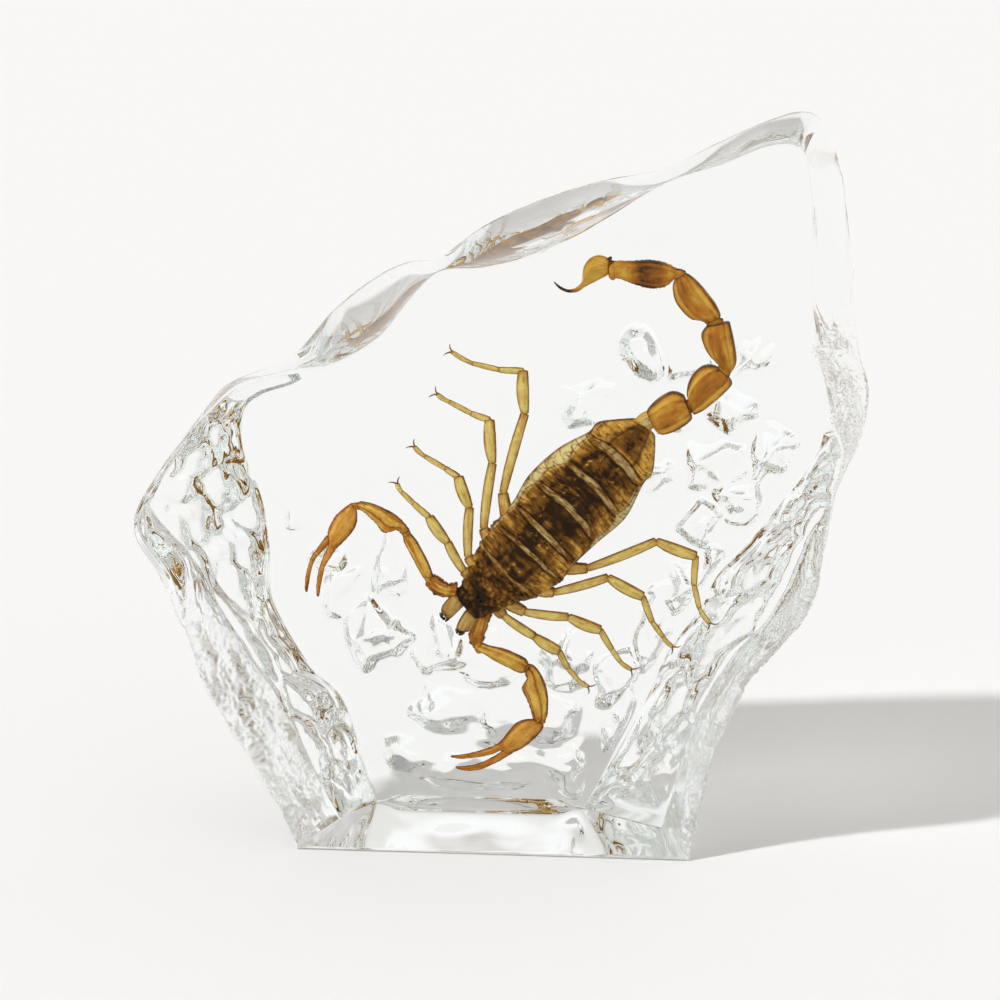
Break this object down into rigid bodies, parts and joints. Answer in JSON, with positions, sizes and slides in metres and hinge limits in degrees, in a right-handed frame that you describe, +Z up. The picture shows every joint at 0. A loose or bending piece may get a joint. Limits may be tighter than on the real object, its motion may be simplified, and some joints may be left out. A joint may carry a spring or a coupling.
{
  "type": "scorpion in resin block",
  "caption": "Dried scorpion sealed in a clear free-form resin block with a flat front, hammered sides, a faceted top edge and carved scoops behind.",
  "frame": {"origin": "centre of the base's outline box, on the surface the block stands on", "axes": "+Z up; -Y out of the flat front face that the animal's back is turned to; +X to the right as seen from the front"},
  "size_m": [0.0783, 0.025, 0.08],
  "materials": {
    "resin": "clear, polished",
    "chitin": "satin"
  },
  "bodies": {
    "root": {"resin_front": "resin", "resin_back": "resin", "scorpion": "chitin"}
  },
  "joints": []
}
